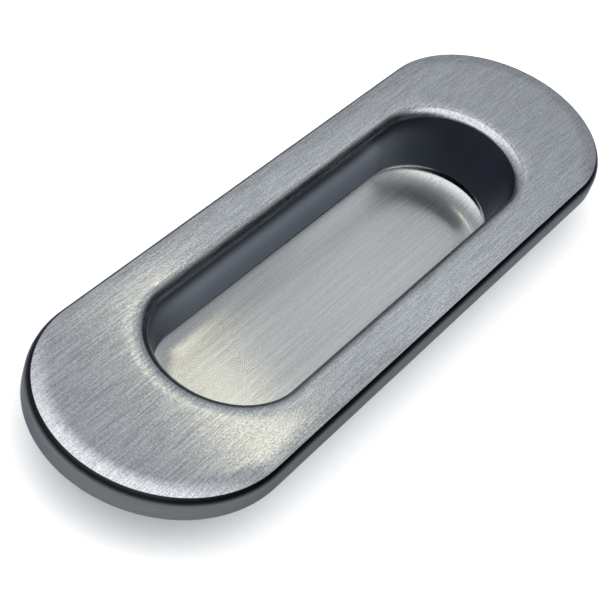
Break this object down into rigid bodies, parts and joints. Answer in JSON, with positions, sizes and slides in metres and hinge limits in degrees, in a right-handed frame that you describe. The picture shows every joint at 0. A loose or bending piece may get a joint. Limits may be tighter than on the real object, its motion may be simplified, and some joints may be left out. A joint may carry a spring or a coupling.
{
  "type": "pocket door pull",
  "caption": "Flush pull for a sliding door: a long round-ended face plate with a rolled finger recess, pushed into a drawn cup whose flange takes hidden countersunk screws.",
  "frame": {"origin": "middle of the cup's flat underside", "axes": "+Z out of the door, from the cup's underside to the face that the fingers meet; +X along the plate"},
  "size_m": [0.13, 0.04, 0.0126],
  "materials": {
    "plate_steel": "fine brush lines along the plate",
    "cup_steel": "fine brush lines along the floor"
  },
  "bodies": {
    "root": {"face_plate": "plate_steel", "cup": "cup_steel"}
  },
  "joints": []
}
